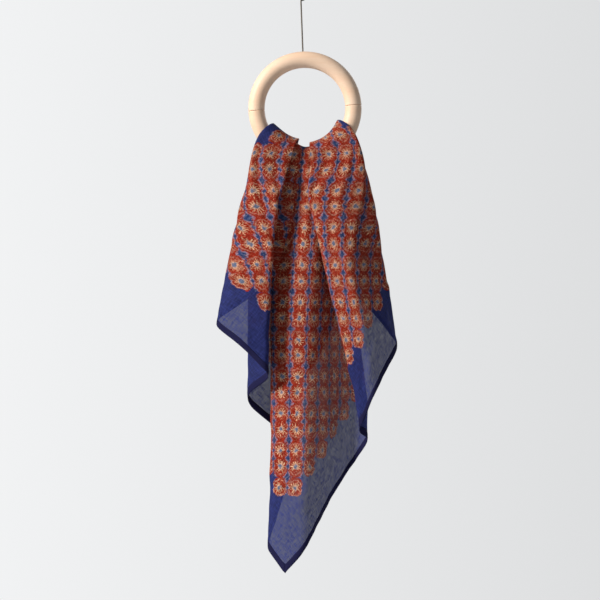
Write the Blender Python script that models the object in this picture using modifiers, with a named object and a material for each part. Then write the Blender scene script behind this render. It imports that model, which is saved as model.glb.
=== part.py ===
"""Square scarf drawn by its diagonal over a wooden ring that hangs on a wire.

Metres, +Z up, +X to the right and +Y away from the viewer. The origin is the point where a hook
bears, inside the top of the wire's eye.
"""

import math

import bmesh
import bpy
import numpy as np

MM = 0.001
GAP = 0.3 * MM

# Wooden ring: two turned half rings, butted at 9 and 3 o'clock and turned a little in its own plane
RING_OUTSIDE = 120.0 * MM
BAR_RADIUS = 8.7 * MM
RING_RADIUS = RING_OUTSIDE / 2 - BAR_RADIUS
RING_TURN = math.radians(3.2)
HALF_RING_STEPS = 24
SEAM_STEP = 0.1 * MM
BAR_BEVEL_RESOLUTION = 6
SHARP_ANGLE = math.radians(40)

# Hanging wire: set in a drilled hole at the ring's top, bent to a round eye
WIRE_RADIUS = 0.8 * MM
WIRE_LEAN = math.radians(2.3)
WIRE_FOOT_OFFSET = -2.1 * MM
WIRE_RISE = 54.0 * MM
WIRE_SET_IN = 5.0 * MM
WIRE_STEPS = 12
HOLE_RADIUS = WIRE_RADIUS + GAP
HOLE_SIDES = 16
EYE_RADIUS = 7.0 * MM
EYE_SWEEP = math.radians(318)
EYE_STEPS = 24
WIRE_BEVEL_RESOLUTION = 2

# Scarf: a square of thin cloth hung by its diagonal, its front corner much lower than its back one
SCARF_SIDE = 500.0 * MM
CLOTH_THICKNESS = 1.0 * MM
DIAGONAL = SCARF_SIDE * math.sqrt(2)
FRONT_DROP = 489.5 * MM

# Heights of the sections below the ring's centre
FREE_HEIGHT = {
    "tip": -FRONT_DROP,
    "tail": -330 * MM,
    "skirt": -240 * MM,
    "waist": -165 * MM,
    "neck": -90 * MM,
}
BACK_HEIGHT = {
    "back_neck": -90 * MM,
    "back": -170 * MM,
    "back_tip": -300 * MM,
}

# How far the ring's section already takes the shape of the next one at the bar's front and back, how
# far the cloth's path over the bar leans from square to upright (0) towards square to the bar (1),
# and how far the front corner swings sideways
FRONT_BLEND = 0.3
WRAP_LEAN = 0.7
TIP_SWING = -4.0 * MM

# A fold is never wider than this share of the way to the next line
FOLD_LIMIT = 0.45

# Lines that run down the cloth from the left corner's side to the right one's, and which are folds.
# A fold is a blunt U: its width is given on the ring and where the cloth hangs free.
LINES = {
    # line            fold   on_ring  free
    "left_end":      (False, 0.0, 0.0),
    "left_side":     (True, 3.2, 9.0),
    "left_face":     (False, 0.0, 0.0),
    "left_roll":     (True, 1.8, 6.0),
    "left_tuck":     (True, 3.2, 8.0),
    "inner_tuck":    (True, 1.8, 5.0),
    "middle_edge":   (True, 1.8, 4.0),
    "middle_left":   (False, 0.0, 0.0),
    "star_line":     (False, 0.0, 0.0),
    "middle_bend":   (False, 0.0, 0.0),
    "middle_dip":    (False, 0.0, 0.0),
    "right_tuck":    (True, 1.8, 6.0),
    "right_roll":    (True, 1.8, 6.0),
    "right_face":    (False, 0.0, 0.0),
    "right_side":    (True, 4.4, 12.0),
    "right_wing":    (False, 0.0, 0.0),
    "right_end":     (False, 0.0, 0.0),
}

# One table for each section, in millimetres. across: place in the flat cloth, from its diagonal.
# sideways: place to the right of the ring's centre. out: distance in front of the ring's own plane,
# behind it in the back tables, and off the wood in the ring's table, where sideways follows the bar.
SECTIONS = {
    "tail": {
        # line           across sideways  out
        "left_end":      (-340, -30, 6),
        "left_side":     (-268, -94, 18),
        "left_face":     (-246, -68, 36),
        "left_roll":     (-214, -40, 36),
        "left_tuck":     (-180, -60, -2),
        "inner_tuck":    (-127, -8, -30),
        "middle_edge":   (-26, -36, 12),
        "middle_left":   (-13, -28, 20),
        "star_line":     (0, -17, 27),
        "middle_bend":   (29, 8, 36),
        "middle_dip":    (86, 42, -10),
        "right_tuck":    (134, 66, 18),
        "right_roll":    (152, 56, 34),
        "right_face":    (196, 76, 44),
        "right_side":    (240, 97, 18),
        "right_wing":    (280, 86, 0),
        "right_end":     (340, 50, 0),
    },
    "skirt": {
        "left_end":      (-340, -20, 6),
        "left_side":     (-268, -94, 18),
        "left_face":     (-236, -66, 38),
        "left_roll":     (-203, -38, 38),
        "left_tuck":     (-170, -60, 17),
        "inner_tuck":    (-112, -9, 4),
        "middle_edge":   (-25, -36, 14),
        "middle_left":   (-12, -26, 23),
        "star_line":     (0, -15, 31),
        "middle_bend":   (27, 9, 37),
        "middle_dip":    (68, 32, 3),
        "right_tuck":    (113, 58, 22),
        "right_roll":    (135, 37, 38),
        "right_face":    (180, 66, 54),
        "right_side":    (237, 96, 14),
        "right_wing":    (262, 84, 0),
        "right_end":     (340, 40, 0),
    },
    "waist": {
        "left_end":      (-372, 20, 6),
        "left_side":     (-234, -81, 17),
        "left_face":     (-210, -58, 36),
        "left_roll":     (-183, -34, 38),
        "left_tuck":     (-136, -58, 22),
        "inner_tuck":    (-92, -10, 14),
        "middle_edge":   (-25, -36, 12),
        "middle_left":   (-13, -25, 18),
        "star_line":     (0, -12, 28),
        "middle_bend":   (22, 8, 35),
        "middle_dip":    (48, 28, 19),
        "right_tuck":    (92, 53, 23),
        "right_roll":    (126, 19, 35),
        "right_face":    (166, 49, 51),
        "right_side":    (218, 83, 14),
        "right_wing":    (258, 66, 0),
        "right_end":     (372, -20, 3),
    },
    "neck": {
        "left_end":      (-350, 14, 6),
        "left_side":     (-198, -64, 15),
        "left_face":     (-176, -46, 27),
        "left_roll":     (-153, -25, 28),
        "left_tuck":     (-115, -52, 19),
        "inner_tuck":    (-80, -12, 13),
        "middle_edge":   (-30, -34, 13),
        "middle_left":   (-17, -20, 9),
        "star_line":     (0, -7, 15),
        "middle_bend":   (14, 8, 20),
        "middle_dip":    (34, 24, 13),
        "right_tuck":    (72, 50, 16),
        "right_roll":    (114, 4, 22),
        "right_face":    (150, 40, 31),
        "right_side":    (184, 70, 14),
        "right_wing":    (230, 46, 5),
        "right_end":     (350, -24, 6),
    },
    "ring": {
        "left_end":      (-295, 10, 1.6),
        "left_side":     (-182, -51, 4.2),
        "left_face":     (-164, -37, 9.2),
        "left_roll":     (-136, -8, 9.0),
        "left_tuck":     (-100, -42.5, 5.2),
        "inner_tuck":    (-72, -16, 4.0),
        "middle_edge":   (-35, -34, 5.6),
        "middle_left":   (-17, -17, 6.6),
        "star_line":     (0, -1, 1.6),
        "middle_bend":   (10, 9, 1.6),
        "middle_dip":    (28, 26, 3.2),
        "right_tuck":    (58, 46, 4.1),
        "right_roll":    (100, 6, 5.6),
        "right_face":    (128, 34, 6.6),
        "right_side":    (154, 56, 4.0),
        "right_wing":    (186, 40, 1.6),
        "right_end":     (295, -10, 1.6),
    },
    "back_neck": {
        "left_end":      (-262, 8, 10),
        "left_side":     (-188, -58, 15),
        "left_face":     (-170, -42, 23),
        "left_roll":     (-142, -14, 24),
        "left_tuck":     (-103, -48, 17),
        "inner_tuck":    (-72, -12, 14),
        "middle_edge":   (-35, -34, 17),
        "middle_left":   (-17, -18, 18),
        "star_line":     (0, -2, 13),
        "middle_bend":   (12, 10, 13),
        "middle_dip":    (30, 26, 15),
        "right_tuck":    (60, 50, 16),
        "right_roll":    (104, 4, 20),
        "right_face":    (136, 38, 26),
        "right_side":    (168, 64, 16),
        "right_wing":    (200, 42, 10),
        "right_end":     (262, -2, 10),
    },
    "back": {
        "left_end":      (-262, 6, 12),
        "left_side":     (-194, -64, 20),
        "left_face":     (-176, -46, 34),
        "left_roll":     (-144, -18, 36),
        "left_tuck":     (-100, -52, 24),
        "inner_tuck":    (-66, -10, 18),
        "middle_edge":   (-32, -34, 24),
        "middle_left":   (-16, -20, 27),
        "star_line":     (0, -4, 24),
        "middle_bend":   (14, 10, 20),
        "middle_dip":    (34, 28, 23),
        "right_tuck":    (66, 54, 25),
        "right_roll":    (104, 18, 33),
        "right_face":    (144, 48, 40),
        "right_side":    (184, 74, 22),
        "right_wing":    (210, 50, 13),
        "right_end":     (262, 4, 12),
    },
}

# The front corner takes the tail's section, drawn in on its right
SECTIONS["tip"] = dict(SECTIONS["tail"], middle_dip=(86, 24, -18), right_tuck=(134, 46, 14))
SECTIONS["back_tip"] = SECTIONS["back"]

# Sections in order from the front corner over the ring to the back one, and mesh rows up to each
RING_ANGLES = np.radians([0, 30, 60, 90, 120, 150, 180])
ROWS_UP_TO = {
    "tail": 8,
    "skirt": 4,
    "waist": 4,
    "neck": 4,
    "ring": 3,
    "back_neck": 2,
    "back": 4,
    "back_tip": 6,
}
MERGE_DISTANCE = 0.1 * MM

COLOURS = {
    "cloth": ((0.30, 0.06, 0.04, 1.0), 0.90, 0.0),
    "maple": ((0.86, 0.68, 0.50, 1.0), 0.55, 0.0),
    "steel_wire": ((0.34, 0.31, 0.28, 1.0), 0.40, 1.0),
}


def unit(vectors):
    """Vectors scaled to length 1."""
    return vectors / np.linalg.norm(vectors, axis=-1, keepdims=True)


def section_outline(table, ring_share):
    """Control points (across, sideways, out) of one section.

    A plain line gives its own point. A fold line gives the four corners of a blunt U whose flat end
    is as long as the fold is wide: two on that end and two a width back along the legs.
    """
    rows = np.array([table[line] for line in LINES], dtype=float) * MM
    points = []
    for index, (fold, on_ring, free) in enumerate(LINES.values()):
        if not fold:
            points.append(rows[index])
            continue
        before = rows[index, 1:] - rows[index - 1, 1:]
        after = rows[index + 1, 1:] - rows[index, 1:]
        width = (on_ring * ring_share + free * (1 - ring_share)) * MM
        width = min(width, FOLD_LIMIT * np.linalg.norm(before), FOLD_LIMIT * np.linalg.norm(after))
        inward, outward = unit(before), unit(after)
        tip = unit(inward - outward)
        side = np.sign(inward[0] * outward[1] - inward[1] * outward[0])
        across_tip = side * np.array([-tip[1], tip[0]]) * width / 2
        place, at = rows[index, 1:], rows[index, 0]
        points.append(np.append(at - 1.5 * width, place - across_tip - inward * width))
        points.append(np.append(at - 0.5 * width, place - across_tip))
        points.append(np.append(at + 0.5 * width, place + across_tip))
        points.append(np.append(at + 1.5 * width, place + across_tip + outward * width))
    return np.array(points)


def corner_cut(points):
    """The outline with each corner cut once, which rounds the folds and keeps both ends."""
    first = 0.75 * points[:-1] + 0.25 * points[1:]
    second = 0.25 * points[:-1] + 0.75 * points[1:]
    middle = np.stack([first, second], axis=1).reshape(-1, points.shape[1])
    return np.vstack([points[:1], middle[1:-1], points[-1:]])


def over_the_bar(outline, angle):
    """Points (across, x, y, z, along) of the ring's section at an angle round the bar, 0 at its front.

    Each point stands off the bar by the cloth's own lift. The cloth leans from the ring's radius
    towards the upright as it crosses the wood, so its path round the bar is a slanted one.
    """
    across, arc, lift = outline.T
    turn = arc / RING_RADIUS
    reach = BAR_RADIUS + lift
    slant = np.tan((1 - WRAP_LEAN) * turn)
    rise = reach * math.sin(angle)
    place = turn + rise * slant / (RING_RADIUS - rise)
    x = (RING_RADIUS - rise) * np.sin(place)
    z = -(RING_RADIUS - rise) * np.cos(place)
    y = -reach * math.cos(angle)
    along = FRONT_DROP - RING_RADIUS * np.cos(turn) + reach * angle
    return np.stack([across, x, y, z, along], axis=1)


def hanging(outline, height, behind, start=None):
    """Points (across, x, y, z, along) of a section that hangs free at one height."""
    across, x, out = outline.T
    z = np.full_like(x, height)
    if behind:
        return np.stack([across, x, out, z, start[:, 4] + start[:, 3] - height], axis=1)
    return np.stack([across, x, -out, z, FRONT_DROP + z], axis=1)


def key_sections():
    """Every section as an array of points, in order, with the mesh rows that lead up to it."""
    shapes = {name: corner_cut(section_outline(table, float(name == "ring")))
              for name, table in SECTIONS.items()}
    keys, rows = [], []
    for name, height in FREE_HEIGHT.items():
        keys.append(hanging(shapes[name], height, False))
        rows.append(ROWS_UP_TO.get(name, 0))
    keys[0][:, 1] += TIP_SWING
    for angle in RING_ANGLES:
        outline = shapes["ring"].copy()
        drift = FRONT_BLEND * abs(math.cos(angle))
        towards = shapes["neck"] if math.cos(angle) > 0 else shapes["back_neck"]
        outline[:, :2] += drift * (towards[:, :2] - outline[:, :2])
        keys.append(over_the_bar(outline, angle))
        rows.append(ROWS_UP_TO["ring"] if angle == RING_ANGLES[0] else 1)
    start = keys[-1]
    for name, height in BACK_HEIGHT.items():
        keys.append(hanging(shapes[name], height, True, start))
        rows.append(ROWS_UP_TO[name])
    return np.array(keys), rows


def rows_between(keys, rows):
    """Mesh rows on smooth curves through the key sections (cubic, tangents from the neighbours)."""
    steps = np.linalg.norm(np.diff(keys[:, :, 1:4], axis=0), axis=2).mean(axis=1)
    at = np.concatenate([[0], np.cumsum(steps)])
    slopes = np.gradient(keys, at, axis=0)
    result = [keys[0]]
    for index in range(1, len(keys)):
        length = at[index] - at[index - 1]
        for step in range(1, rows[index] + 1):
            f = step / rows[index]
            result.append((2 * f**3 - 3 * f**2 + 1) * keys[index - 1] + (3 * f**2 - 2 * f**3) * keys[index]
                          + (f**3 - 2 * f**2 + f) * length * slopes[index - 1]
                          + (f**3 - f**2) * length * slopes[index])
    return np.array(result)


def trimmed_to_hem(row):
    """One row with what lies outside the square's edges drawn in to the hem on either side."""
    across, along = row[:, 0], row[:, 4]
    spare = np.minimum(along, DIAGONAL - along) - np.abs(across)
    inside = np.flatnonzero(spare > 0)
    middle = int(np.argmax(spare))
    if inside.size == 0:
        return np.repeat(row[middle:middle + 1], len(row), axis=0)
    result = row.copy()
    for edge, outer in ((inside[0], -1), (inside[-1], 1)):
        neighbour = edge + outer
        share = spare[edge] / (spare[edge] - spare[neighbour])
        hem = row[edge] + share * (row[neighbour] - row[edge])
        if outer < 0:
            result[:edge] = hem
        else:
            result[edge + 1:] = hem
    return result


def scarf_mesh(centre):
    """The open surface of the scarf: a grid of rows and lines, with all beyond the hem merged away."""
    grid = np.array([trimmed_to_hem(row) for row in rows_between(*key_sections())])
    count, width = grid.shape[:2]
    mesh = bpy.data.meshes.new("scarf")
    work = bmesh.new()
    vertices = [work.verts.new(point) for point in (grid[:, :, 1:4] + centre).reshape(-1, 3)]
    for row in range(count - 1):
        for column in range(width - 1):
            first = row * width + column
            work.faces.new([vertices[first], vertices[first + 1],
                            vertices[first + width + 1], vertices[first + width]])
    bmesh.ops.remove_doubles(work, verts=work.verts, dist=MERGE_DISTANCE)
    bmesh.ops.triangulate(work, faces=work.faces)
    work.to_mesh(mesh)
    work.free()
    return mesh


def material(name):
    """Principled material with the piece's colour, roughness and metallic value."""
    colour, roughness, metallic = COLOURS[name]
    result = bpy.data.materials.new(name)
    result.use_nodes = True
    shader = result.node_tree.nodes["Principled BSDF"]
    shader.inputs["Base Color"].default_value = colour
    shader.inputs["Roughness"].default_value = roughness
    shader.inputs["Metallic"].default_value = metallic
    return result


def tube(name, points, radius, resolution, collection):
    """A round tube with flat caps along a run of points, as a mesh with its caps welded."""
    curve = bpy.data.curves.new(name, "CURVE")
    curve.dimensions = "3D"
    curve.bevel_depth = radius
    curve.bevel_resolution = resolution
    curve.use_fill_caps = True
    spline = curve.splines.new("POLY")
    spline.points.add(len(points) - 1)
    for target, point in zip(spline.points, points):
        target.co = (*point, 1.0)
    source = bpy.data.objects.new(name + "_curve", curve)
    collection.objects.link(source)
    bpy.context.view_layer.update()
    mesh = bpy.data.meshes.new_from_object(source.evaluated_get(bpy.context.evaluated_depsgraph_get()))
    bpy.data.objects.remove(source)
    work = bmesh.new()
    work.from_mesh(mesh)
    bmesh.ops.remove_doubles(work, verts=work.verts, dist=0.01 * MM)
    work.to_mesh(mesh)
    work.free()
    mesh.name = name
    result = bpy.data.objects.new(name, mesh)
    collection.objects.link(result)
    return result


def shade_round(piece):
    """Smooth shading, with sharp edges kept."""
    piece.data.shade_smooth()
    piece.data.set_sharp_from_angle(angle=SHARP_ANGLE)


def wire_direction():
    """Unit vector up along the leaning wire."""
    return np.array([-math.sin(WIRE_LEAN), 0.0, math.cos(WIRE_LEAN)])


def ring_centre():
    """The ring's centre, found down the wire from the hook's bearing point inside the eye."""
    eye = np.array([0.0, 0.0, -(EYE_RADIUS - WIRE_RADIUS)])
    shank_top = eye - wire_direction() * EYE_RADIUS
    foot = shank_top - wire_direction() * WIRE_RISE
    top_of_ring = math.sqrt((RING_OUTSIDE / 2) ** 2 - WIRE_FOOT_OFFSET**2)
    return foot - np.array([WIRE_FOOT_OFFSET, 0.0, top_of_ring])


def make_half_ring(name, first_angle, centre, collection):
    """Half of the ring: a round bar bent through half a turn, short of the seams by half a gap.

    A very short step at each end keeps the cut face square to the bar.
    """
    start = first_angle + GAP / 2 / RING_RADIUS
    end = first_angle + math.pi - GAP / 2 / RING_RADIUS
    short = SEAM_STEP / RING_RADIUS
    angles = [start, *np.linspace(start + short, end - short, HALF_RING_STEPS + 1), end]
    points = [centre + RING_RADIUS * np.array([math.cos(a), 0.0, math.sin(a)]) for a in angles]
    half = tube(name, points, BAR_RADIUS, BAR_BEVEL_RESOLUTION, collection)
    half.data.materials.append(material("maple"))
    shade_round(half)
    return half


def drill_wire_hole(half, centre, cutters):
    """The drilled hole that holds the wire's foot, a little wider than the wire."""
    foot = centre + np.array([WIRE_FOOT_OFFSET, 0.0, RING_OUTSIDE / 2])
    depth = WIRE_SET_IN + GAP
    bpy.ops.mesh.primitive_cylinder_add(vertices=HOLE_SIDES, radius=HOLE_RADIUS, depth=2 * depth,
                                        location=foot, rotation=(0.0, -WIRE_LEAN, 0.0))
    cutter = bpy.context.object
    cutter.name = "wire_hole_cutter"
    cutter.hide_render = True
    cutter.display_type = "WIRE"
    for owner in cutter.users_collection:
        owner.objects.unlink(cutter)
    cutters.objects.link(cutter)
    cut = half.modifiers.new("wire hole", "BOOLEAN")
    cut.operation = "DIFFERENCE"
    cut.object = cutter


def make_wire(centre, collection):
    """Straight shank from inside the drilled hole, then a round eye that stops short of the shank."""
    foot = centre + np.array([WIRE_FOOT_OFFSET, 0.0, RING_OUTSIDE / 2]) - wire_direction() * WIRE_SET_IN
    eye = np.array([0.0, 0.0, -(EYE_RADIUS - WIRE_RADIUS)])
    shank_top = eye - wire_direction() * EYE_RADIUS
    shank = [foot + (shank_top - foot) * step / WIRE_STEPS for step in range(WIRE_STEPS)]
    start = math.atan2(-wire_direction()[2], -wire_direction()[0])
    turns = np.linspace(start, start + EYE_SWEEP, EYE_STEPS + 1)
    loop = [eye + EYE_RADIUS * np.array([math.cos(a), 0.0, math.sin(a)]) for a in turns]
    wire = tube("hanging_wire", shank + loop, WIRE_RADIUS, WIRE_BEVEL_RESOLUTION, collection)
    wire.data.materials.append(material("steel_wire"))
    shade_round(wire)


def make_scarf(centre, collection):
    """The square of cloth, given its thickness evenly on both sides of its surface."""
    scarf = bpy.data.objects.new("scarf", scarf_mesh(centre))
    collection.objects.link(scarf)
    scarf.data.materials.append(material("cloth"))
    scarf.data.shade_smooth()
    thickness = scarf.modifiers.new("cloth thickness", "SOLIDIFY")
    thickness.thickness = CLOTH_THICKNESS
    thickness.offset = 0.0


def main():
    for old in list(bpy.data.objects):
        bpy.data.objects.remove(old, do_unlink=True)
    collection = bpy.data.collections.new("square_scarf_on_ring")
    cutters = bpy.data.collections.new("cutters")
    bpy.context.scene.collection.children.link(collection)
    bpy.context.scene.collection.children.link(cutters)
    centre = ring_centre()
    upper = make_half_ring("ring_upper_half", RING_TURN, centre, collection)
    drill_wire_hole(upper, centre, cutters)
    make_half_ring("ring_lower_half", RING_TURN + math.pi, centre, collection)
    make_wire(centre, collection)
    make_scarf(centre, collection)


main()
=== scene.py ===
import math

import bmesh
import bpy
import numpy as np
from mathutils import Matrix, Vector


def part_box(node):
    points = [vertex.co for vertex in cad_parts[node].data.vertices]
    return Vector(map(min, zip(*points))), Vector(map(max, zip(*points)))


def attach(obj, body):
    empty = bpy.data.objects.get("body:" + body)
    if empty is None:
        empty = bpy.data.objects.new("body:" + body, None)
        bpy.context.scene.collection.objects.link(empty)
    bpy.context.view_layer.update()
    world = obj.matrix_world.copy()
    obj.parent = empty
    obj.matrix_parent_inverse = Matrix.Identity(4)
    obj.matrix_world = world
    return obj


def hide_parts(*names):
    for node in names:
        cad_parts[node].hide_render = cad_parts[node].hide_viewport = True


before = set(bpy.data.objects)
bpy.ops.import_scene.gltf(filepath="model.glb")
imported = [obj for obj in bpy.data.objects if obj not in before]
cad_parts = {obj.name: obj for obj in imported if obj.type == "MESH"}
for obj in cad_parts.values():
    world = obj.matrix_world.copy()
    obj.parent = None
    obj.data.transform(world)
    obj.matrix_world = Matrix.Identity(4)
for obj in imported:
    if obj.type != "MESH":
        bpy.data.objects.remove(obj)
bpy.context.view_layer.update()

# Studio: a pale seamless surround lit from the left by one large soft lamp, with weak fills from the
# right and from behind, and a round pale floor under the hanging scarf. The camera stands level in
# front, far off, as a product camera with a long lens does.
# Metres that the photo's width spans at the scarf, and how far the camera stands from it
PHOTO_SPAN = 0.6316
CAMERA_DISTANCE = 2.6
SENSOR = 36.0
VIEW_CENTRE = (-0.0007, -0.015, -0.3303)
FLOOR_HEIGHT = -0.90
FLOOR_RADIUS = 0.80
FLOOR_SIDES = 96

# Share of the surround's brightness that lights the object, and where its gradient starts and ends
SURROUND_LIGHT = 0.26
GRADIENT_REACH = 0.13

camera = bpy.data.objects.new("camera", bpy.data.cameras.new("camera"))
camera.data.sensor_width = SENSOR
camera.data.lens = SENSOR * CAMERA_DISTANCE / PHOTO_SPAN
camera.location = (VIEW_CENTRE[0], VIEW_CENTRE[1] - CAMERA_DISTANCE, VIEW_CENTRE[2])
camera.rotation_euler = (math.radians(90), 0.0, 0.0)
bpy.context.scene.collection.objects.link(camera)
bpy.context.scene.camera = camera
bpy.context.scene.view_settings.view_transform = "Standard"


def linear(hex_colour):
    """RGBA of an sRGB hex colour, each channel turned from display to linear light."""
    channels = [int(hex_colour[i:i + 2], 16) / 255 for i in (1, 3, 5)]
    return (*[c / 12.92 if c <= 0.04045 else ((c + 0.055) / 1.055) ** 2.4 for c in channels], 1.0)


def node(tree, kind, inputs=None, output=0, **settings):
    """A shader node with its settings and its inputs, named or numbered, filled; gives one output."""
    made = tree.nodes.new(kind)
    for name, value in settings.items():
        setattr(made, name, value)
    for key, value in (inputs or {}).items():
        if isinstance(value, bpy.types.NodeSocket):
            tree.links.new(value, made.inputs[key])
        else:
            made.inputs[key].default_value = value
    return made.outputs[output] if made.outputs else made


def lamp(name, place, target, size, power, colour):
    """A square area lamp at a place, turned to face a target."""
    data = bpy.data.lights.new(name, "AREA")
    data.size = size
    data.energy = power
    data.color = linear(colour)[:3]
    made = bpy.data.objects.new(name, data)
    made.location = place
    aim = np.array(target) - np.array(place)
    side = math.hypot(aim[0], aim[1])
    made.rotation_euler = (math.atan2(side, -aim[2]), 0.0, math.atan2(aim[1], aim[0]) - math.pi / 2)
    bpy.context.scene.collection.objects.link(made)


lamp("key_left", (-2.1, -1.15, 0.85), (0.0, 0.0, -0.3), 0.6, 86.0, "#FFF8F0")
lamp("fill_right", (1.6, -1.9, 0.1), (0.0, 0.0, -0.3), 1.6, 2.5, "#EEF4FF")
lamp("fill_behind", (1.4, 2.2, 0.7), (0.0, 0.0, -0.3), 1.4, 16.0, "#FFFFFF")

world = bpy.data.worlds.new("pale surround")
world.use_nodes = True
bpy.context.scene.world = world
surround = world.node_tree
surround.nodes.clear()
heading = node(surround, "ShaderNodeSeparateXYZ", {0: node(surround, "ShaderNodeTexCoord")})
sideways = node(surround, "ShaderNodeMapRange",
                {0: heading, 1: -GRADIENT_REACH, 2: GRADIENT_REACH, 3: 0.0, 4: 1.0})
pale = node(surround, "ShaderNodeMix", {0: sideways, 6: linear("#F2F3F4"), 7: linear("#DDDEDF")},
            data_type="RGBA", output=2)
seen = node(surround, "ShaderNodeLightPath")
strength = node(surround, "ShaderNodeMapRange", {0: seen, 1: 0.0, 2: 1.0, 3: SURROUND_LIGHT, 4: 1.0})
glow = node(surround, "ShaderNodeBackground", {0: pale, 1: strength})
node(surround, "ShaderNodeOutputWorld", {0: glow})

turn = np.linspace(0, 2 * math.pi, FLOOR_SIDES, endpoint=False)
rim = np.stack([FLOOR_RADIUS * np.cos(turn), FLOOR_RADIUS * np.sin(turn), np.full(FLOOR_SIDES, FLOOR_HEIGHT)],
               axis=1)
floor_mesh = bpy.data.meshes.new("floor")
floor_mesh.from_pydata(rim.tolist(), [], [list(range(FLOOR_SIDES))])
floor = bpy.data.objects.new("floor", floor_mesh)
bpy.context.scene.collection.objects.link(floor)

# Matt emulsion paint: an even pale grey without gloss
painted = bpy.data.materials.new("matt painted floor")
painted.use_nodes = True
paint = painted.node_tree.nodes["Principled BSDF"]
paint.inputs["Base Color"].default_value = linear("#E9EAEC")
paint.inputs["Roughness"].default_value = 0.9
floor_mesh.materials.append(painted)

# Wooden ring: a display ring of pale maple, turned in two half rings that are glued end to end. It
# is sanded and left bare. The butt joints show as fine lines at 9 and 3 o'clock, because each
# end has a slightly eased edge, and the upper half is drilled at the top for the wire.
RING_OUTSIDE = 0.120
BAR_RADIUS = 0.0087
RING_RADIUS = RING_OUTSIDE / 2 - BAR_RADIUS
RING_TURN = math.radians(3.2)
SEAM_GAP = 0.0003
EASED_EDGE = 0.0005
EASED_ROUND = 0.3
JOIN_DISTANCE = 0.00003
upper_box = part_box("ring_upper_half")
ring_centre = np.array([(upper_box[0].x + upper_box[1].x) / 2, 0.0, upper_box[1].z - RING_OUTSIDE / 2])


def grid_mesh(name, points, closed_across=False, flat=None):
    """A mesh of quads on a grid of points (rows, columns, 3), closed round across its rows if asked.

    flat gives each point's place in the UV map of that name. Points that lie on one another, such as
    those of a pole or a cut edge, are joined.
    """
    rows, columns = points.shape[:2]
    index = np.arange(rows * columns).reshape(rows, columns)
    if closed_across:
        index = np.hstack([index, index[:, :1]])
    quads = np.stack([index[:-1, :-1], index[:-1, 1:], index[1:, 1:], index[1:, :-1]], axis=-1)
    mesh = bpy.data.meshes.new(name)
    mesh.from_pydata(points.reshape(-1, 3).tolist(), [], quads.reshape(-1, 4).tolist())
    if flat is not None:
        corner_point = np.zeros(len(mesh.loops), dtype=np.int32)
        mesh.loops.foreach_get("vertex_index", corner_point)
        corners = flat.reshape(-1, 2)[corner_point]
        mesh.uv_layers.new(name="flat").data.foreach_set("uv", corners.astype(np.float32).ravel())
    joined = bmesh.new()
    joined.from_mesh(mesh)
    bmesh.ops.remove_doubles(joined, verts=joined.verts, dist=JOIN_DISTANCE)
    joined.to_mesh(mesh)
    joined.free()
    mesh.shade_smooth()
    return mesh


def half_ring(first_angle, steps=160, sides=64):
    """Half of a torus as a closed grid: the bar's circle is carried round half a turn.

    At each end the circle shrinks by the eased edge over that same length, in two steps that round
    it, then to a point that closes the end face.
    """
    inset = (SEAM_GAP / 2) / RING_RADIUS
    ease = EASED_EDGE / RING_RADIUS
    angles = np.linspace(first_angle + inset + ease, first_angle + math.pi - inset - ease, steps)
    start, end = first_angle + inset, first_angle + math.pi - inset
    along = np.concatenate([[start, start, start + EASED_ROUND * ease], angles,
                            [end - EASED_ROUND * ease, end, end]])
    narrow, nearly_full = BAR_RADIUS - EASED_EDGE, BAR_RADIUS - EASED_ROUND * EASED_EDGE
    radii = np.concatenate([[0.0, narrow, nearly_full], np.full(steps, BAR_RADIUS),
                            [nearly_full, narrow, 0.0]])
    around = np.linspace(0, 2 * math.pi, sides, endpoint=False)
    reach = RING_RADIUS + radii[:, None] * np.cos(around)
    return ring_centre + np.stack([reach * np.cos(along)[:, None], radii[:, None] * np.sin(around),
                                   reach * np.sin(along)[:, None]], axis=-1)


def turned_maple(name, offset):
    """Maple, sanded and unlacquered: long faint grain lines, finer pores, and a soft satin surface.

    Along and across the board the grain's waves are about 110, 17 and 8 mm long, and the pores'
    about 14, 1.4 and 1.1 mm.
    """
    made = bpy.data.materials.new(name)
    made.use_nodes = True
    tree = made.node_tree
    shader = tree.nodes["Principled BSDF"]
    place = node(tree, "ShaderNodeTexCoord", output=3)
    tilt = (0.0, 0.0, 0.35)
    board = node(tree, "ShaderNodeMapping", {0: place, 1: offset, 2: tilt, 3: (9.0, 60.0, 120.0)})
    rings = node(tree, "ShaderNodeTexNoise",
                 {"Vector": board, "Scale": 1.0, "Detail": 3.0, "Roughness": 0.55})
    fine = node(tree, "ShaderNodeMapping", {0: place, 1: offset, 2: tilt, 3: (70.0, 700.0, 900.0)})
    pores = node(tree, "ShaderNodeTexNoise",
                 {"Vector": fine, "Scale": 1.0, "Detail": 2.0, "Roughness": 0.6})
    tone = node(tree, "ShaderNodeMapRange", {0: rings, 1: 0.3, 2: 0.7, 3: 0.0, 4: 1.0})
    colour = node(tree, "ShaderNodeMix", {0: tone, 6: linear("#FFE3CA"), 7: linear("#FCD9BB")},
                  data_type="RGBA", output=2)
    speckle = node(tree, "ShaderNodeMapRange", {0: pores, 1: 0.35, 2: 0.75, 3: 0.0, 4: 0.22})
    grained = node(tree, "ShaderNodeMix", {0: speckle, 6: colour, 7: linear("#E9BF9C")},
                   data_type="RGBA", output=2)
    tree.links.new(grained, shader.inputs["Base Color"])
    sheen = node(tree, "ShaderNodeMapRange", {0: pores, 1: 0.2, 2: 0.8, 3: 0.42, 4: 0.56})
    tree.links.new(sheen, shader.inputs["Roughness"])
    relief = node(tree, "ShaderNodeBump", {"Strength": 0.12, "Distance": 0.0002, "Height": pores})
    tree.links.new(relief, shader.inputs["Normal"])
    shader.inputs["IOR"].default_value = 1.5
    shader.inputs["Specular IOR Level"].default_value = 0.4
    return made


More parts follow.
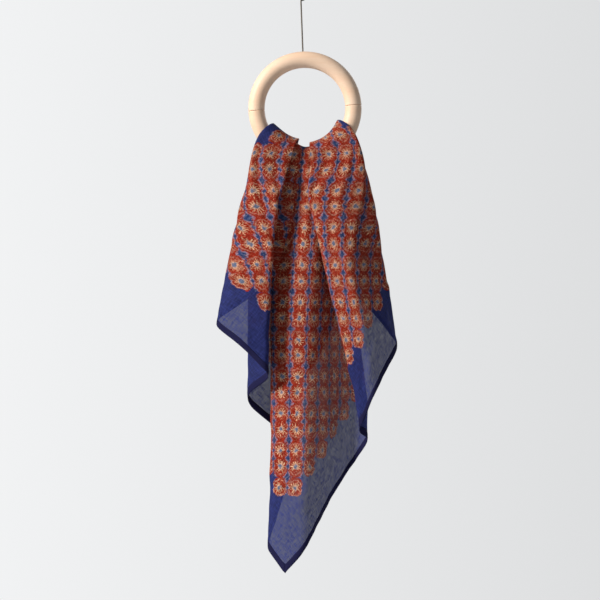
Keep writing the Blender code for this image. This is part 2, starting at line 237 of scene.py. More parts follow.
for node_name, first_angle, offset in (("ring_upper_half", RING_TURN, (0.03, 0.0, 0.0)),
                                       ("ring_lower_half", RING_TURN + math.pi, (0.31, 0.2, 0.13))):
    mesh = grid_mesh(node_name + "_turned", half_ring(first_angle), closed_across=True)
    mesh.materials.append(turned_maple("sanded maple " + node_name.split("_")[1], offset))
    half = bpy.data.objects.new(node_name + "_turned", mesh)
    bpy.context.scene.collection.objects.link(half)
    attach(half, "root")
    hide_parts(node_name)

# Hanging wire: dull steel wire 1.6 mm thick, pushed into the drilled hole and bent by hand to a
# round eye out of the picture's view. It leans a little to the left.
WIRE_RADIUS = 0.0008
WIRE_LEAN = math.radians(2.3)
WIRE_FOOT_OFFSET = -0.0021
WIRE_SET_IN = 0.003
EYE_RADIUS = 0.0070
EYE_SWEEP = math.radians(318)
EYE_STEPS = 72
SHANK_STEPS = 24
up_the_wire = np.array([-math.sin(WIRE_LEAN), 0.0, math.cos(WIRE_LEAN)])
eye_centre = np.array([0.0, 0.0, -(EYE_RADIUS - WIRE_RADIUS)])
wire_foot = ring_centre + np.array([WIRE_FOOT_OFFSET, 0.0, RING_OUTSIDE / 2 - WIRE_SET_IN])
shank_top = eye_centre - up_the_wire * EYE_RADIUS


def tube_points(path, radius, sides):
    """A circle carried along a path in the ring's plane, with a point at each end to close it."""
    along = np.gradient(path, axis=0)
    along /= np.linalg.norm(along, axis=1, keepdims=True)
    across = np.stack([along[:, 2], np.zeros(len(path)), -along[:, 0]], axis=1)
    around = np.linspace(0, 2 * math.pi, sides, endpoint=False)
    sizes = np.full(len(path), radius)
    path = np.vstack([path[:1], path, path[-1:]])
    across = np.vstack([across[:1], across, across[-1:]])
    sizes = np.concatenate([[0.0], sizes, [0.0]])[:, None, None]
    ring = across[:, None, :] * np.cos(around)[None, :, None]
    ring = ring + np.array([0.0, 1.0, 0.0]) * np.sin(around)[None, :, None]
    return path[:, None, :] + sizes * ring


first = math.atan2(-up_the_wire[2], -up_the_wire[0])
turns = np.linspace(first, first + EYE_SWEEP, EYE_STEPS)
eye = eye_centre + EYE_RADIUS * np.stack([np.cos(turns), np.zeros(EYE_STEPS), np.sin(turns)], axis=1)
shank = wire_foot + np.linspace(0, 1, SHANK_STEPS, endpoint=False)[:, None] * (shank_top - wire_foot)
wire_mesh = grid_mesh("hanging_wire_bent", tube_points(np.vstack([shank, eye]), WIRE_RADIUS, 16),
                      closed_across=True)

# Drawn steel: a grey metal whose thin brown tarnish breaks up its gleam, in spots about 1 mm wide
drawn_steel = bpy.data.materials.new("dull drawn steel")
drawn_steel.use_nodes = True
steel_tree = drawn_steel.node_tree
steel = steel_tree.nodes["Principled BSDF"]
steel.inputs["Metallic"].default_value = 0.8
wire_place = node(steel_tree, "ShaderNodeTexCoord", output=3)
tarnish = node(steel_tree, "ShaderNodeTexNoise", {"Vector": wire_place, "Scale": 900.0, "Detail": 2.0})
steel_tone = node(steel_tree, "ShaderNodeMix", {0: tarnish, 6: linear("#5F5A54"), 7: linear("#7C756C")},
                  data_type="RGBA", output=2)
steel_tree.links.new(steel_tone, steel.inputs["Base Color"])
steel_rough = node(steel_tree, "ShaderNodeMapRange", {0: tarnish, 1: 0.0, 2: 1.0, 3: 0.35, 4: 0.55})
steel_tree.links.new(steel_rough, steel.inputs["Roughness"])
wire_mesh.materials.append(drawn_steel)
wire = bpy.data.objects.new("hanging_wire_bent", wire_mesh)
bpy.context.scene.collection.objects.link(wire)
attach(wire, "root")
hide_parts("hanging_wire")

# Scarf: a 50 cm square of thin, slightly sheer cotton, block printed and hemmed with a narrow roll.
# It is drawn by its diagonal over the ring's lower arc, so its front corner hangs low, the back
# one is hidden behind it, and the two side corners wrap behind the front.
SCARF_SIDE = 0.500
DIAGONAL = SCARF_SIDE * math.sqrt(2)
FRONT_DROP = 0.4895
FREE_HEIGHT = {"tip": -FRONT_DROP, "tail": -0.330, "skirt": -0.240, "waist": -0.165, "neck": -0.090}
BACK_HEIGHT = {"back_neck": -0.090, "back": -0.170, "back_tip": -0.300}

# How far the ring's section already takes the shape of the next one at the bar's front and back, how
# far the cloth's path over the bar leans from square to upright (0) towards square to the bar (1),
# and how far the front corner swings sideways
FRONT_BLEND = 0.3
WRAP_LEAN = 0.7
TIP_SWING = -0.004

# A fold is never wider than this share of the way to the next line
FOLD_LIMIT = 0.45

# Lines down the cloth, and how wide the fold is at each on the ring and hanging free, in millimetres
LINES = {
    # line            on_ring  free
    "left_end":      (0.0, 0.0),
    "left_side":     (3.2, 9.0),
    "left_face":     (0.0, 0.0),
    "left_roll":     (1.8, 6.0),
    "left_tuck":     (3.2, 8.0),
    "inner_tuck":    (1.8, 5.0),
    "middle_edge":   (1.8, 4.0),
    "middle_left":   (0.0, 0.0),
    "star_line":     (0.0, 0.0),
    "middle_bend":   (0.0, 0.0),
    "middle_dip":    (0.0, 0.0),
    "right_tuck":    (1.8, 6.0),
    "right_roll":    (1.8, 6.0),
    "right_face":    (0.0, 0.0),
    "right_side":    (4.4, 12.0),
    "right_wing":    (0.0, 0.0),
    "right_end":     (0.0, 0.0),
}

# Each section's lines in that order: across the flat cloth, sideways, and out from the ring's plane
# or off the wood, in millimetres
SECTIONS = {
    "tail": [
        (-340, -30, 6), (-268, -94, 18), (-246, -68, 36), (-214, -40, 36), (-180, -60, -2),
        (-127, -8, -30), (-26, -36, 12), (-13, -28, 20), (0, -17, 27), (29, 8, 36), (86, 42, -10),
        (134, 66, 18), (152, 56, 34), (196, 76, 44), (240, 97, 18), (280, 86, 0), (340, 50, 0),
    ],
    "skirt": [
        (-340, -20, 6), (-268, -94, 18), (-236, -66, 38), (-203, -38, 38), (-170, -60, 17),
        (-112, -9, 4), (-25, -36, 14), (-12, -26, 23), (0, -15, 31), (27, 9, 37), (68, 32, 3),
        (113, 58, 22), (135, 37, 38), (180, 66, 54), (237, 96, 14), (262, 84, 0), (340, 40, 0),
    ],
    "waist": [
        (-372, 20, 6), (-234, -81, 17), (-210, -58, 36), (-183, -34, 38), (-136, -58, 22),
        (-92, -10, 14), (-25, -36, 12), (-13, -25, 18), (0, -12, 28), (22, 8, 35), (48, 28, 19),
        (92, 53, 23), (126, 19, 35), (166, 49, 51), (218, 83, 14), (258, 66, 0), (372, -20, 3),
    ],
    "neck": [
        (-350, 14, 6), (-198, -64, 15), (-176, -46, 27), (-153, -25, 28), (-115, -52, 19),
        (-80, -12, 13), (-30, -34, 13), (-17, -20, 9), (0, -7, 15), (14, 8, 20), (34, 24, 13),
        (72, 50, 16), (114, 4, 22), (150, 40, 31), (184, 70, 14), (230, 46, 5), (350, -24, 6),
    ],
    "ring": [
        (-295, 10, 1.6), (-182, -51, 4.2), (-164, -37, 9.2), (-136, -8, 9), (-100, -42.5, 5.2),
        (-72, -16, 4), (-35, -34, 5.6), (-17, -17, 6.6), (0, -1, 1.6), (10, 9, 1.6), (28, 26, 3.2),
        (58, 46, 4.1), (100, 6, 5.6), (128, 34, 6.6), (154, 56, 4), (186, 40, 1.6),
        (295, -10, 1.6),
    ],
    "back_neck": [
        (-262, 8, 10), (-188, -58, 15), (-170, -42, 23), (-142, -14, 24), (-103, -48, 17),
        (-72, -12, 14), (-35, -34, 17), (-17, -18, 18), (0, -2, 13), (12, 10, 13), (30, 26, 15),
        (60, 50, 16), (104, 4, 20), (136, 38, 26), (168, 64, 16), (200, 42, 10), (262, -2, 10),
    ],
    "back": [
        (-262, 6, 12), (-194, -64, 20), (-176, -46, 34), (-144, -18, 36), (-100, -52, 24),
        (-66, -10, 18), (-32, -34, 24), (-16, -20, 27), (0, -4, 24), (14, 10, 20), (34, 28, 23),
        (66, 54, 25), (104, 18, 33), (144, 48, 40), (184, 74, 22), (210, 50, 13), (262, 4, 12),
    ],
}

# The front corner takes the tail's section, drawn in on its right
SECTIONS["tip"] = SECTIONS["tail"][:10] + [(86, 24, -18), (134, 46, 14)] + SECTIONS["tail"][12:]
SECTIONS["back_tip"] = SECTIONS["back"]

# Angles of the ring's section round the bar, mesh rows up to each section, and how often the
# outline's corners are cut
RING_ANGLES = np.radians(np.arange(0, 181, 15))
ROWS_UP_TO = {"tail": 64, "skirt": 40, "waist": 34, "neck": 34, "ring": 18, "turn": 2,
              "back_neck": 16, "back": 34, "back_tip": 46}
CORNER_CUTS = 3


def section_outline(table, ring_share):
    """Control points (across, sideways, out) of one section; each fold line gives the four of a U."""
    rows = np.array(table, dtype=float) / 1000
    points = []
    for index, (on_ring, free) in enumerate(LINES.values()):
        if on_ring == 0.0:
            points.append(rows[index])
            continue
        before = rows[index, 1:] - rows[index - 1, 1:]
        after = rows[index + 1, 1:] - rows[index, 1:]
        width = (on_ring * ring_share + free * (1 - ring_share)) / 1000
        width = min(width, FOLD_LIMIT * np.linalg.norm(before), FOLD_LIMIT * np.linalg.norm(after))
        inward, outward = before / np.linalg.norm(before), after / np.linalg.norm(after)
        tip = (inward - outward) / np.linalg.norm(inward - outward)
        side = np.sign(inward[0] * outward[1] - inward[1] * outward[0])
        across_tip = side * np.array([-tip[1], tip[0]]) * width / 2
        place, at = rows[index, 1:], rows[index, 0]
        points.append(np.append(at - 1.5 * width, place - across_tip - inward * width))
        points.append(np.append(at - 0.5 * width, place - across_tip))
        points.append(np.append(at + 0.5 * width, place + across_tip))
        points.append(np.append(at + 1.5 * width, place + across_tip + outward * width))
    return np.array(points)


def corner_cut(points, times):
    """The outline with each corner cut again and again, which tends to a smooth quadratic curve."""
    for _ in range(times):
        first = 0.75 * points[:-1] + 0.25 * points[1:]
        second = 0.25 * points[:-1] + 0.75 * points[1:]
        middle = np.stack([first, second], axis=1).reshape(-1, points.shape[1])
        points = np.vstack([points[:1], middle[1:-1], points[-1:]])
    return points


def over_the_bar(outline, angle):
    """Points (across, x, y, z, along) of the ring's section at an angle round the bar, 0 at its front.

    Each stands off the bar by the cloth's lift, on a path that leans from the ring's radius
    towards the upright as it crosses the wood.
    """
    across, arc, lift = outline.T
    turn = arc / RING_RADIUS
    reach = BAR_RADIUS + lift
    rise = reach * math.sin(angle)
    place = turn + rise * np.tan((1 - WRAP_LEAN) * turn) / (RING_RADIUS - rise)
    x = (RING_RADIUS - rise) * np.sin(place)
    z = -(RING_RADIUS - rise) * np.cos(place)
    y = -reach * math.cos(angle)
    along = FRONT_DROP - RING_RADIUS * np.cos(turn) + reach * angle
    return np.stack([across, x, y, z, along], axis=1)


def key_sections(times):
    """Every section (points of across, x, y, z, along) in order, and the rows of mesh up to each."""
    shapes = {name: corner_cut(section_outline(table, float(name == "ring")), times)
              for name, table in SECTIONS.items()}
    keys, rows = [], []
    for name, height in FREE_HEIGHT.items():
        across, x, out = shapes[name].T
        z = np.full_like(x, height)
        keys.append(np.stack([across, x, -out, z, FRONT_DROP + z], axis=1))
        rows.append(ROWS_UP_TO.get(name, 0))
    keys[0][:, 1] += TIP_SWING
    for angle in RING_ANGLES:
        outline = shapes["ring"].copy()
        drift = FRONT_BLEND * abs(math.cos(angle))
        towards = shapes["neck"] if math.cos(angle) > 0 else shapes["back_neck"]
        outline[:, :2] += drift * (towards[:, :2] - outline[:, :2])
        keys.append(over_the_bar(outline, angle))
        rows.append(ROWS_UP_TO["ring"] if angle == RING_ANGLES[0] else ROWS_UP_TO["turn"])
    start = keys[-1]
    for name, height in BACK_HEIGHT.items():
        across, x, out = shapes[name].T
        z = np.full_like(x, height)
        keys.append(np.stack([across, x, out, z, start[:, 4] + start[:, 3] - height], axis=1))
        rows.append(ROWS_UP_TO[name])
    return np.array(keys), rows


def rows_between(keys, rows):
    """Rows on smooth curves through the key sections: cubics with tangents from the neighbours."""
    steps = np.linalg.norm(np.diff(keys[:, :, 1:4], axis=0), axis=2).mean(axis=1)
    at = np.concatenate([[0], np.cumsum(steps)])
    slopes = np.gradient(keys, at, axis=0)
    result = [keys[:1]]
    for index in range(1, len(keys)):
        f = (np.arange(1, rows[index] + 1) / rows[index])[:, None, None]
        length = at[index] - at[index - 1]
        result.append((2 * f**3 - 3 * f**2 + 1) * keys[index - 1] + (3 * f**2 - 2 * f**3) * keys[index]
                      + (f**3 - 2 * f**2 + f) * length * slopes[index - 1]
                      + (f**3 - f**2) * length * slopes[index])
    return np.vstack(result)


def spare_cloth(points):
    """How far each point lies inside the square's edges, measured across the diagonal."""
    return np.minimum(points[..., 4], DIAGONAL - points[..., 4]) - np.abs(points[..., 0])


def cut_row(row, margin):
    """Column places where one row meets the line a margin inside its left and right hems."""
    spare = spare_cloth(row) - margin
    inside = np.flatnonzero(spare > 0)
    if inside.size == 0:
        middle = float(np.argmax(spare))
        return middle, middle
    first, last = inside[0], inside[-1]
    left = first - spare[first] / (spare[first] - spare[first - 1])
    right = last + spare[last] / (spare[last] - spare[last + 1])
    return left, right


def sampled(row, places):
    """Points of a row at fractional column places."""
    low = np.clip(np.floor(places).astype(int), 0, len(row) - 2)
    share = (places - low)[:, None]
    return row[low] * (1 - share) + row[low + 1] * share


def cloth_normals(points):
    """Unit normals of a grid of points from its two running directions, forward on the front."""
    down = np.gradient(points, axis=0)
    over = np.gradient(points, axis=1)
    normal = np.cross(over, down)
    return normal / np.maximum(np.linalg.norm(normal, axis=-1, keepdims=True), 1e-12)


# Creases on the flat cloth: from and to (across, along), half width and height, in millimetres
CREASES = (
    (8, 40, 14, 150, 2.5, 0.5),
    (60, 120, 96, 190, 4, -1.8),
    (84, 118, 52, 170, 4, 1.6),
    (100, 150, 118, 205, 3, -1.5),
    (120, 165, 100, 225, 4, 1.4),
    (44, 84, 66, 112, 3, 1.2),
    (30, 66, 74, 104, 4, -1.4),
    (-214, 250, -160, 330, 5, 0.9),
    (-240, 262, -200, 340, 4, -0.7),
    (-150, 180, -110, 260, 4, 0.8),
    (180, 210, 160, 330, 5, 1.6),
    (232, 250, 196, 340, 5, -1.6),
    (160, 190, 190, 270, 4, -1.3),
    (206, 236, 222, 300, 4, 1.4),
    (28, 60, 40, 120, 4, -0.7),
    (-10, 90, -6, 200, 3, 0.4),
)


def soft_wrinkles(across, along):
    """Height in metres of the cloth's soft waves and creases over its fold shape.

    Slow crossing waves, fine pleats that run up into the ring and fade below it, and a few straight
    creases, each a smooth trough or ridge about a line. All fade out on the ring itself.
    """
    s, t = across * 1000, along * 1000
    free = np.clip(np.abs(t - 480) / 200 - 0.45, 0.0, 1.0)
    waves = 0.55 * np.sin(0.115 * s + 0.055 * t + 0.6) * np.sin(0.031 * t - 0.06 * s + 1.1)
    waves += 0.30 * np.sin(0.19 * s - 0.13 * t + 2.0) + 0.22 * np.sin(0.27 * s + 0.21 * t)
    pleats = 0.85 * np.sin(0.36 * s + 0.012 * t) + 0.4 * np.sin(0.61 * s - 0.02 * t + 1.3)
    near = np.exp(-((t - 400) / 60) ** 2) * np.clip((np.abs(t - 480) - 8) / 40, 0.0, 1.0)
    height = free * waves + near * pleats
    for s1, t1, s2, t2, width, depth in CREASES:
        run = np.array([s2 - s1, t2 - t1])
        length = np.hypot(*run)
        share = np.clip(((s - s1) * run[0] + (t - t1) * run[1]) / length**2, 0.0, 1.0)
        gap = np.hypot(s - s1 - share * run[0], t - t1 - share * run[1])
        height = height + depth * np.exp(-(gap / width) ** 2)
    return height / 1000


surface = rows_between(*key_sections(CORNER_CUTS))
surface[:, :, 1:4] += ring_centre
lift = soft_wrinkles(surface[:, :, 0], surface[:, :, 4])
facing = cloth_normals(surface[:, :, 1:4])
surface[:, :, 1:4] += lift[:, :, None] * facing
columns = np.arange(surface.shape[1], dtype=float)


def sheet_mesh(name, rows, closed_across=False):
    """A mesh on rows of (across, x, y, z, along) points, with the flat cloth's place as its UV map."""
    flat = np.stack([rows[:, :, 0] / DIAGONAL + 0.5, rows[:, :, 4] / DIAGONAL], axis=-1)
    return grid_mesh(name, rows[:, :, 1:4], closed_across=closed_across, flat=flat)


limits = np.array([cut_row(row, 0.0) for row in surface])
on_cloth = np.flatnonzero(limits[:, 1] > limits[:, 0])
kept_rows = slice(on_cloth[0] - 1, on_cloth[-1] + 2)
surface, facing, limits = surface[kept_rows], facing[kept_rows], limits[kept_rows]
cut_cloth = np.array([sampled(row, np.clip(columns, *limit)) for row, limit in zip(surface, limits)])
scarf = bpy.data.objects.new("scarf_cloth", sheet_mesh("scarf_cloth", cut_cloth))
bpy.context.scene.collection.objects.link(scarf)
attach(scarf, "root")
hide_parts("scarf")

# The hem: a narrow roll along each edge, four layers thick when turned and sewn, so it stands a
# little proud of both faces. The lens that draws it starts at a share of its sine wave
HEM_MARGIN = 0.0092
HEM_HALF_THICKNESS = 0.00042
HEM_BULGE_START = 0.12
HEM_STEPS = 6


def hem_rows(side):
    """The roll along the left (0) or right (1) edge: a flat lens round the strip inside that edge.

    The lens bulges as half a sine wave to both sides. Its first and last rows shrink to the corners.
    """
    inner = np.array([cut_row(row, HEM_MARGIN) for row in surface])
    steps = np.linspace(0.0, 1.0, HEM_STEPS)
    places = limits[:, side, None] + steps * (inner[:, side] - limits[:, side])[:, None]
    strip = np.array([sampled(row, place) for row, place in zip(surface, places)])
    normals = np.array([sampled(row, place) for row, place in zip(facing, places)])
    bulge_share = HEM_BULGE_START + (1 - 2 * HEM_BULGE_START) * steps
    bulge = HEM_HALF_THICKNESS * np.sin(np.pi * bulge_share)[None, :, None]
    bulge = bulge * (limits[:, 1] > limits[:, 0])[:, None, None]
    front, back = strip.copy(), strip.copy()
    front[:, :, 1:4] += normals * bulge
    back[:, :, 1:4] -= normals * bulge
    order = slice(None) if side == 0 else slice(None, None, -1)
    return np.concatenate([front[:, order], back[:, order][:, ::-1]], axis=1)


hems = []
for side, name in enumerate(("scarf_hem_left", "scarf_hem_right")):
    hem = bpy.data.objects.new(name, sheet_mesh(name, hem_rows(side), closed_across=True))
    bpy.context.scene.collection.objects.link(hem)
    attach(hem, "root")
    hems.append(hem)

# Print: rows of small round block-printed flowers on madder red, in columns parted by a line of blue
# lozenges, within a plain indigo border whose inner edge follows the flowers. The blocks are cut and
# inked by hand, so every line wobbles a little. Sizes in millimetres: the columns' pitch, the repeat
# of the pairs of flowers down a column and where it starts, a flower's place in its pair, the depth
# of the border, a border flower's radius, and how far the outlines stray
COLUMN_PITCH = 19.2
PAIR_REPEAT = 38.9
FIRST_PAIR = 120.1
FLOWER_OFFSET = 8.3
BORDER_REACH = 74.5
FLOWER_EDGE = 9.3
WOBBLE = 2.1
PETALS = 13

# Radius of the pale outline, and the lozenges' half widths and half heights: where two pairs meet, in
# the middle of a pair, and beside a flower, with the thin stem's half width
OUTLINE_RADIUS = 8.3
LOZENGE_AT_JOIN = (3.2, 4.4)
LOZENGE_IN_PAIR = (2.5, 3.4)
LOZENGE_BESIDE = (1.7, 2.6)
STEM_HALF_WIDTH = 0.32
RED, CREAM, OUTLINE, BLUE = "#A12815", "#FFD8AE", "#D8A290", "#2F4478"
INDIGO, HEM_INDIGO = "#313A7A", "#15153A"
MATH, VECTOR, MIX, RANGE = "ShaderNodeMath", "ShaderNodeVectorMath", "ShaderNodeMix", "ShaderNodeMapRange"
NOISE = "ShaderNodeTexNoise"

# Thin block-printed cotton: matt, soft in its shading, lit a little from behind, and see-through in
# fine specks where its threads leave gaps. The red ink closes most of them
cotton = bpy.data.materials.new("block printed cotton")
cotton.use_nodes = True
tree = cotton.node_tree
side_mm = DIAGONAL * 1000
flat = node(tree, "ShaderNodeUVMap", uv_map="flat")
cloth_mm = node(tree, VECTOR, {0: flat, 1: (side_mm, side_mm, 0), 2: (-side_mm / 2, 0, 0)},
                operation="MULTIPLY_ADD")

# Where in the print a point lies: its flower cell's centre and its own place from that centre
shift = node(tree, NOISE, {"Vector": cloth_mm, "Scale": 0.26, "Detail": 3.0, "Roughness": 0.65}, output=1)
centred = node(tree, VECTOR, {0: shift, 1: (0.5, 0.5, 0.5)}, operation="SUBTRACT")
drawn = node(tree, VECTOR, {0: centred, 1: (3 * WOBBLE, 3 * WOBBLE, 0), 2: cloth_mm},
             operation="MULTIPLY_ADD")
across = node(tree, "ShaderNodeSeparateXYZ", {0: drawn})
along = across.node.outputs[1]
from_back = node(tree, MATH, {0: side_mm, 1: along}, operation="SUBTRACT")
height = node(tree, MATH, {0: along, 1: from_back}, operation="MINIMUM")
column = node(tree, MATH, {0: across, 1: COLUMN_PITCH}, operation="DIVIDE")
column_part = node(tree, MATH, {0: column}, operation="FRACT")
from_middle = node(tree, MATH, {0: column_part, 1: COLUMN_PITCH, 2: -COLUMN_PITCH / 2},
                   operation="MULTIPLY_ADD")
cell_across = node(tree, MATH, {0: across, 1: from_middle}, operation="SUBTRACT")
pair = node(tree, MATH, {0: height, 1: 1 / PAIR_REPEAT, 2: 0.5 - FIRST_PAIR / PAIR_REPEAT},
            operation="MULTIPLY_ADD")
pair_part = node(tree, MATH, {0: pair}, operation="FRACT")
from_pair = node(tree, MATH, {0: pair_part, 1: PAIR_REPEAT, 2: -PAIR_REPEAT / 2}, operation="MULTIPLY_ADD")
pair_height = node(tree, MATH, {0: height, 1: from_pair}, operation="SUBTRACT")
upper = node(tree, MATH, {0: from_pair}, operation="SIGN")
pair_gap = node(tree, MATH, {0: from_pair}, operation="ABSOLUTE")
from_flower = node(tree, MATH, {0: pair_gap, 1: FLOWER_OFFSET}, operation="SUBTRACT")
cell_height = node(tree, MATH, {0: upper, 1: PAIR_REPEAT / 4, 2: pair_height}, operation="MULTIPLY_ADD")
spot = node(tree, "ShaderNodeCombineXYZ", {0: from_middle, 1: from_flower, 2: 0.0})
radius = node(tree, VECTOR, {0: spot}, operation="LENGTH", output=1)

# The border's inner edge: a cell is printed if it lies far enough from the hem, and an outer cell is
# rounded off to its flower, most of all where the next cells beside it and below it are both plain
edge_side = node(tree, MATH, {0: from_middle}, operation="SIGN")
edge_up = node(tree, MATH, {0: from_flower}, operation="SIGN")
edge_step = node(tree, MATH, {0: upper, 1: edge_up}, operation="MULTIPLY")
next_across = node(tree, MATH, {0: edge_side, 1: COLUMN_PITCH, 2: cell_across}, operation="MULTIPLY_ADD")
next_height = node(tree, MATH, {0: edge_step, 1: PAIR_REPEAT / 2, 2: cell_height}, operation="MULTIPLY_ADD")
reaches = []
for cell_x, cell_y in ((cell_across, cell_height), (next_across, cell_height), (cell_across, next_height)):
    sideways = node(tree, MATH, {0: cell_x}, operation="ABSOLUTE")
    reach = node(tree, MATH, {0: cell_y, 1: sideways}, operation="SUBTRACT")
    reaches.append(node(tree, MATH, {0: reach, 1: BORDER_REACH}, operation="GREATER_THAN"))
closed_in = node(tree, MATH, {0: reaches[1], 1: reaches[2]}, operation="MINIMUM")
beside_one = node(tree, MATH, {0: reaches[1], 1: reaches[2]}, operation="MAXIMUM")
round_edge = node(tree, MATH, {0: beside_one, 1: 1.6, 2: FLOWER_EDGE}, operation="MULTIPLY_ADD")
round_part = node(tree, MATH, {0: radius, 1: round_edge}, operation="LESS_THAN")
kept = node(tree, MATH, {0: closed_in, 1: round_part}, operation="MAXIMUM")
printed = node(tree, MATH, {0: kept, 1: reaches[0]}, operation="MULTIPLY")

# Flower: cream strokes about a blue-grey eye, with none on one side. A broken pale line runs round
# each pair, and round each single flower at the border
ink = node(tree, NOISE, {"Vector": cloth_mm, "Scale": 0.42, "Detail": 3.0, "Roughness": 0.65})
cell_spot = node(tree, "ShaderNodeCombineXYZ", {0: cell_across, 1: cell_height, 2: 0.0})
chance = node(tree, "ShaderNodeTexWhiteNoise", {0: cell_spot}, noise_dimensions="3D")
bearing = node(tree, MATH, {0: from_flower, 1: from_middle}, operation="ARCTAN2")
petal = node(tree, MATH, {0: bearing, 1: PETALS / (2 * math.pi), 2: chance}, operation="MULTIPLY_ADD")
petal_part = node(tree, MATH, {0: petal}, operation="FRACT")
petal_off = node(tree, MATH, {0: petal_part, 1: 0.5}, operation="SUBTRACT")
petal_gap = node(tree, MATH, {0: petal_off}, operation="ABSOLUTE")
petal_arc = node(tree, MATH, {0: petal_gap, 1: radius}, operation="MULTIPLY")
petal_mm = node(tree, MATH, {0: petal_arc, 1: 2 * math.pi / PETALS}, operation="MULTIPLY")
stroke = node(tree, RANGE, {0: petal_mm, 1: 0.60, 2: 0.14, 3: 0.0, 4: 0.95})
not_middle = node(tree, RANGE, {0: radius, 1: 2.2, 2: 2.8, 3: 0.0, 4: 1.0})
length = node(tree, MATH, {0: ink, 1: 19.0, 2: -3.0}, operation="MULTIPLY_ADD")
past_end = node(tree, MATH, {0: length, 1: radius}, operation="SUBTRACT")
not_past = node(tree, RANGE, {0: past_end, 1: 0.0, 2: 0.5, 3: 0.0, 4: 1.0})
open_turn = node(tree, MATH, {0: bearing, 1: 1 / (2 * math.pi), 2: chance}, operation="MULTIPLY_ADD")
open_part = node(tree, MATH, {0: open_turn}, operation="FRACT")
not_open = node(tree, MATH, {0: open_part, 1: 0.17}, operation="GREATER_THAN")
stroke = node(tree, MATH, {0: stroke, 1: not_middle}, operation="MULTIPLY")
stroke = node(tree, MATH, {0: stroke, 1: not_past}, operation="MULTIPLY")
stroke = node(tree, MATH, {0: stroke, 1: not_open}, operation="MULTIPLY")
beyond = node(tree, MATH, {0: from_flower, 1: 0.0}, operation="MAXIMUM")
oval_spot = node(tree, "ShaderNodeCombineXYZ", {0: from_middle, 1: beyond, 2: 0.0})
oval = node(tree, VECTOR, {0: oval_spot}, operation="LENGTH", output=1)
ring_size = node(tree, MIX, {0: closed_in, 2: radius, 3: oval})
ring_off = node(tree, MATH, {0: ring_size, 1: OUTLINE_RADIUS}, operation="SUBTRACT")
ring_gap = node(tree, MATH, {0: ring_off}, operation="ABSOLUTE")
ring_line = node(tree, RANGE, {0: ring_gap, 1: 1.1, 2: 0.45, 3: 0.0, 4: 1.0})
ring_break = node(tree, RANGE, {0: ink, 1: 0.38, 2: 0.55, 3: 0.0, 4: 0.9})
ring_line = node(tree, MATH, {0: ring_line, 1: ring_break}, operation="MULTIPLY")
ring_share = node(tree, RANGE, {0: closed_in, 1: 0.0, 2: 1.0, 3: 1.0, 4: 0.6})
ring_line = node(tree, MATH, {0: ring_line, 1: ring_share}, operation="MULTIPLY")
fleck = node(tree, NOISE, {"Vector": cloth_mm, "Scale": 0.8, "Detail": 2.0})
fleck = node(tree, RANGE, {0: fleck, 1: 0.57, 2: 0.64, 3: 0.0, 4: 0.55})
eye_reach = node(tree, MATH, {0: ink, 1: 5.0, 2: -2.5}, operation="MULTIPLY_ADD")
eye_size = node(tree, MATH, {0: radius, 1: eye_reach}, operation="ADD")
eye_ring = node(tree, RANGE, {0: eye_size, 1: 3.1, 2: 2.4, 3: 0.0, 4: 0.6})
eye_spot = node(tree, RANGE, {0: eye_size, 1: 2.3, 2: 1.6, 3: 0.0, 4: 1.0})

# Lozenges on the lines between the columns: large and small in turn, and a thin stem between
column_gap = node(tree, MATH, {0: from_middle}, operation="ABSOLUTE")
from_line = node(tree, MATH, {0: COLUMN_PITCH / 2, 1: column_gap}, operation="SUBTRACT")
from_join = node(tree, MATH, {0: PAIR_REPEAT / 2, 1: pair_gap}, operation="SUBTRACT")
from_waist = node(tree, MATH, {0: from_flower}, operation="ABSOLUTE")
lozenge = node(tree, MATH, {0: from_line, 1: 1 / STEM_HALF_WIDTH}, operation="MULTIPLY")
for gap, (half_width, half_height) in ((from_join, LOZENGE_AT_JOIN), (pair_gap, LOZENGE_IN_PAIR),
                                       (from_waist, LOZENGE_BESIDE)):
    upright = node(tree, MATH, {0: gap, 1: half_height}, operation="DIVIDE")
    diamond = node(tree, MATH, {0: from_line, 1: 1 / half_width, 2: upright}, operation="MULTIPLY_ADD")
    lozenge = node(tree, MATH, {0: lozenge, 1: diamond}, operation="MINIMUM")
halo = node(tree, RANGE, {0: lozenge, 1: 1.8, 2: 1.4, 3: 0.0, 4: 0.9})
halo = node(tree, MATH, {0: halo, 1: ring_break}, operation="MULTIPLY")
blue_part = node(tree, RANGE, {0: lozenge, 1: 1.15, 2: 0.9, 3: 0.0, 4: 1.0})
worn = node(tree, RANGE, {0: ink, 1: 0.48, 2: 0.66, 3: 0.0, 4: 0.7})
lozenge_blue = node(tree, MIX, {0: worn, 6: linear(BLUE), 7: linear("#7F86A3")}, data_type="RGBA", output=2)

colour = linear(RED)
for mask, ink_colour in ((fleck, linear("#DF9674")), (ring_line, linear(OUTLINE)), (stroke, linear(CREAM)),
                         (eye_ring, linear("#EFD8C8")), (eye_spot, linear("#6F7A97")),
                         (halo, linear("#A299B4")), (blue_part, lozenge_blue)):
    colour = node(tree, MIX, {0: mask, 6: colour, 7: ink_colour}, data_type="RGBA", output=2)
colour = node(tree, MIX, {0: printed, 6: linear(INDIGO), 7: colour}, data_type="RGBA", output=2)

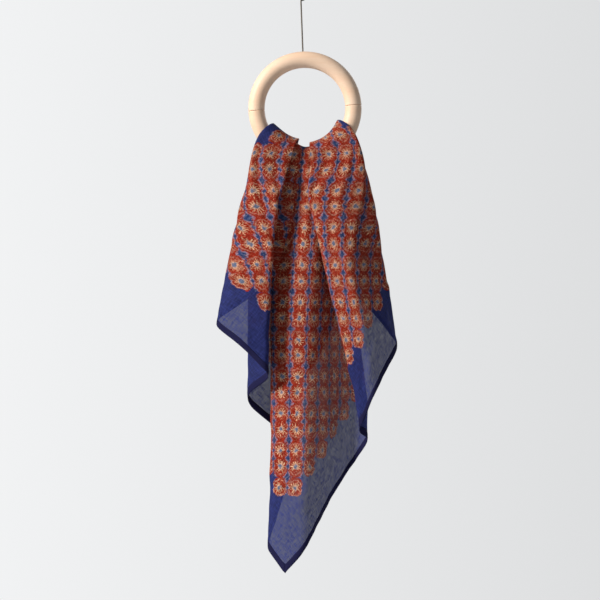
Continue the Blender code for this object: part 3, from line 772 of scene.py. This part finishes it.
# Weave: plain weave with slubs, along both edges of the square. The threads are 0.3 mm, which is
# too fine for this view, so the slubs are drawn about five times coarser: 9 mm long and 1.1 mm wide
SLUB_SIZE = (9.0, 1.1, 1.0)
slubs = []
for turn_angle in (math.radians(45), math.radians(-45)):
    thread = node(tree, "ShaderNodeMapping", {0: cloth_mm, 2: (0.0, 0.0, turn_angle), 3: SLUB_SIZE},
                  vector_type="TEXTURE")
    slubs.append(node(tree, NOISE, {"Vector": thread, "Scale": 1.0, "Detail": 1.0, "Roughness": 0.5}))
weave = node(tree, MATH, {0: slubs[0], 1: slubs[1]}, operation="ADD")
tone = node(tree, RANGE, {0: weave, 1: 0.7, 2: 1.3, 3: 0.52, 4: 1.16})
patch = node(tree, RANGE, {0: ink, 1: 0.25, 2: 0.75, 3: 0.90, 4: 1.10})
tone = node(tree, MATH, {0: tone, 1: patch}, operation="MULTIPLY")
colour = node(tree, VECTOR, {0: colour, "Scale": tone}, operation="SCALE")
relief = node(tree, "ShaderNodeBump", {"Strength": 0.35, "Distance": 0.0004, "Height": weave})
surface_shader = tree.nodes["Principled BSDF"]
tree.links.new(colour, surface_shader.inputs["Base Color"])
tree.links.new(relief, surface_shader.inputs["Normal"])
surface_shader.inputs["Roughness"].default_value = 0.88
surface_shader.inputs["Specular IOR Level"].default_value = 0.15
gaps = node(tree, RANGE, {0: weave, 1: 0.75, 2: 1.25, 3: 0.84, 4: 0.985})
inked = node(tree, RANGE, {0: weave, 1: 0.75, 2: 1.25, 3: 0.95, 4: 1.0})
density = node(tree, MIX, {0: printed, 2: gaps, 3: inked})
tree.links.new(density, surface_shader.inputs["Alpha"])
lit_through = node(tree, "ShaderNodeBsdfTranslucent", {0: colour, "Normal": relief})
mixed = node(tree, "ShaderNodeMixShader", {0: 0.20, 1: surface_shader.outputs[0], 2: lit_through})
tree.links.new(mixed, tree.nodes["Material Output"].inputs["Surface"])
scarf.data.materials.append(cotton)

# Rolled hem: the same indigo cotton in four layers, so it is darker and lets no light through
rolled = bpy.data.materials.new("rolled cotton hem")
rolled.use_nodes = True
rolled_tree = rolled.node_tree
rolled_shader = rolled_tree.nodes["Principled BSDF"]
rolled_place = node(rolled_tree, "ShaderNodeTexCoord", output=3)
rolled_noise = node(rolled_tree, NOISE, {"Vector": rolled_place, "Scale": 700.0, "Detail": 2.0})
rolled_tone = node(rolled_tree, MIX, {0: rolled_noise, 6: linear(HEM_INDIGO), 7: linear("#22224A")},
                   data_type="RGBA", output=2)
rolled_tree.links.new(rolled_tone, rolled_shader.inputs["Base Color"])
rolled_shader.inputs["Roughness"].default_value = 0.9
rolled_shader.inputs["Specular IOR Level"].default_value = 0.15
for hem in hems:
    hem.data.materials.append(rolled)
